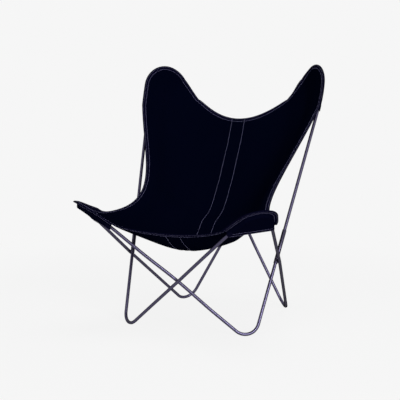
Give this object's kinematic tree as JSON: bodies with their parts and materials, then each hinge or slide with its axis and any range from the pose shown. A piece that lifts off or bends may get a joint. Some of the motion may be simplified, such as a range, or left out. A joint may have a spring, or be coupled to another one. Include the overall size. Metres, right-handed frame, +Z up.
{
  "type": "butterfly sling chair",
  "caption": "Low lounge chair: bent steel rod rings carry a dark canvas sling by corner pockets, with a high winged back and a deep seat.",
  "frame": {"origin": "on the floor, below the middle of the chair's box", "axes": "+Z up, +X to the right of someone who stands in front and looks at the chair, -Y the way the sitter faces"},
  "size_m": [0.7052, 0.7264, 0.8889],
  "materials": {
    "frame_rod": "semi-gloss black enamel",
    "sleeve_tube": "semi-gloss black enamel",
    "weld_bead": "painted over, satin",
    "canvas_top": "matt woven cotton canvas",
    "canvas_under": "matt woven cotton canvas"
  },
  "bodies": {
    "root": {"ring_rod_left": "frame_rod", "ring_rod_right": "frame_rod", "joint_sleeve_left": "sleeve_tube", "joint_sleeve_right": "sleeve_tube", "weld_front": "weld_bead", "weld_back": "weld_bead", "weld_left": "weld_bead", "weld_right": "weld_bead", "seat_panel_left": "canvas_top", "seat_panel_right": "canvas_top", "centre_band": "canvas_top", "hem_left": "canvas_under", "hem_right": "canvas_under", "hem_front": "canvas_under", "hem_back": "canvas_under", "pocket_front_left": "canvas_under", "pocket_front_right": "canvas_under", "pocket_back_left": "canvas_under", "pocket_back_right": "canvas_under"}
  },
  "joints": []
}
